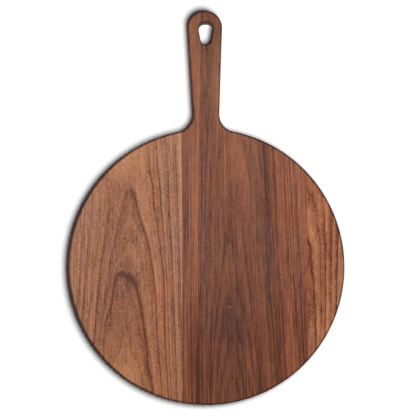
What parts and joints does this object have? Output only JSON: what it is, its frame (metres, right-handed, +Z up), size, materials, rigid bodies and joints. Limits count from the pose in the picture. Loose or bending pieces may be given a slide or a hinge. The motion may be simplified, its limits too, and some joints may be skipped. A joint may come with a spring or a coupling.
{
  "type": "paddle cutting board",
  "caption": "Round edge-glued walnut cutting board with a tapering paddle handle, softened edges and an egg-shaped hanging hole.",
  "frame": {"origin": "centre of the round on the underside", "axes": "+Y from the round along the handle, +Z up out of the cutting face, +X to the right as pictured"},
  "size_m": [0.28, 0.4, 0.015],
  "materials": {
    "pale_walnut": "oiled, satin",
    "dark_walnut": "oiled, satin",
    "amber_walnut": "oiled, satin",
    "dried_glue": "matte"
  },
  "bodies": {
    "root": {"left_stave": "pale_walnut", "left_glue_line": "dried_glue", "centre_stave": "dark_walnut", "right_glue_line": "dried_glue", "right_stave": "amber_walnut"}
  },
  "joints": []
}
